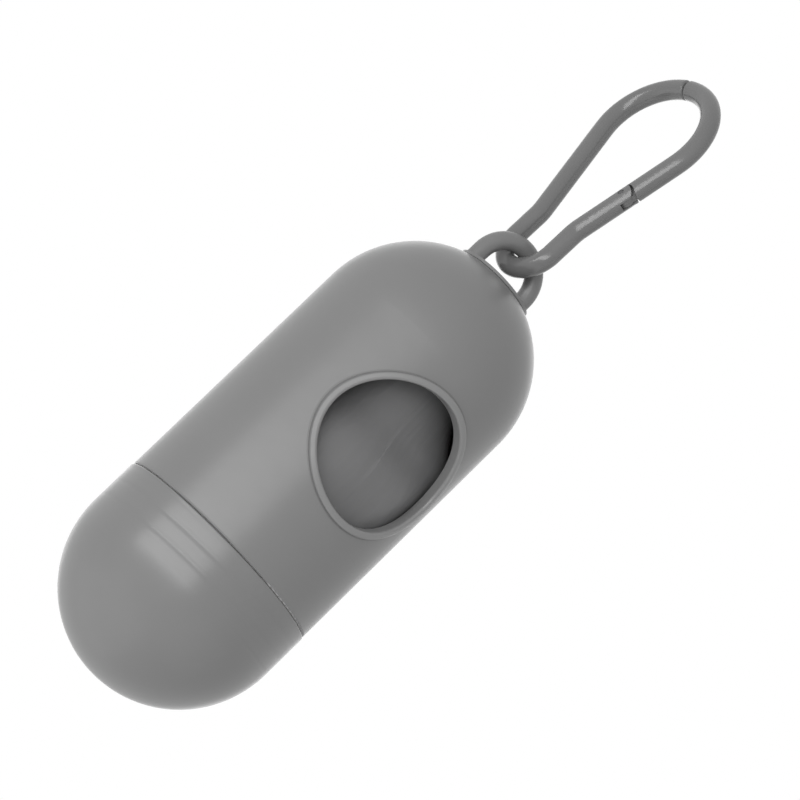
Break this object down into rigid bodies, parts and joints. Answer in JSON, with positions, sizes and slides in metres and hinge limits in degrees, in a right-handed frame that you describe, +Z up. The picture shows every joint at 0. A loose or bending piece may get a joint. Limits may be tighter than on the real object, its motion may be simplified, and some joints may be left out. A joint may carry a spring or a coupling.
{
  "type": "pet waste bag dispenser",
  "caption": "Capsule that dispenses a roll of waste bags through a round window, with a screw cap and a swivel eyelet on a pear-shaped clip.",
  "frame": {"origin": "where the capsule's axis meets the inner face of the clip's wide bend, which is where the part hangs", "axes": "+Z up along the capsule's axis towards the clip; the dispensing window faces -Y"},
  "size_m": [0.0382, 0.0386, 0.1376],
  "materials": {
    "shell_plastic": "satin moulded",
    "eyelet_plastic": "satin moulded",
    "clip_plastic": "polished moulded",
    "fastener_steel": "plain",
    "core_card": "raw cardboard",
    "bag_film": "thin film, wound"
  },
  "bodies": {
    "clip": {"clip_body": "clip_plastic", "hinge_pin": "fastener_steel"},
    "arm": {"clip_arm": "clip_plastic"},
    "eyelet": {"swivel_eyelet": "eyelet_plastic", "swivel_washer": "fastener_steel", "swivel_screw": "fastener_steel"},
    "shell": {"body_shell": "shell_plastic"},
    "core": {"roll_core": "core_card"},
    "cap": {"end_cap": "shell_plastic"},
    "roll": {"bag_roll": "bag_film"}
  },
  "joints": [
    {"name": "arm_open", "type": "hinge", "parent": "clip", "child": "arm", "pos_m": [0.00154, -0.00783, -0.0211], "axis": [0.9813, 0.1925, 0], "range_deg": [0, 80]},
    {"name": "eyelet_swing", "type": "hinge", "parent": "clip", "child": "eyelet", "pos_m": [0, 0, -0.03724], "axis": [0.9945, -0.1045, 0], "range_deg": [-75, 75]},
    {"name": "shell_swivel", "type": "hinge", "parent": "eyelet", "child": "shell", "pos_m": [0, 0, -0.0453], "axis": [0, 0, 1], "continuous": true},
    {"name": "cap_travel", "type": "slide", "parent": "shell", "child": "core", "axis": [0, 0, -1], "range_m": [0, 0.009]},
    {"name": "cap_turn", "type": "hinge", "parent": "core", "child": "cap", "pos_m": [0, 0, -0.1068], "axis": [0, 0, -1], "range_deg": [0, 1080]},
    {"name": "roll_spin", "type": "hinge", "parent": "core", "child": "roll", "pos_m": [0, 0, -0.0948], "axis": [0, 0, 1], "continuous": true}
  ],
  "couplings": [
    {"joint": "cap_turn", "follows": "cap_travel", "rad_per_m": 2094.4}
  ]
}
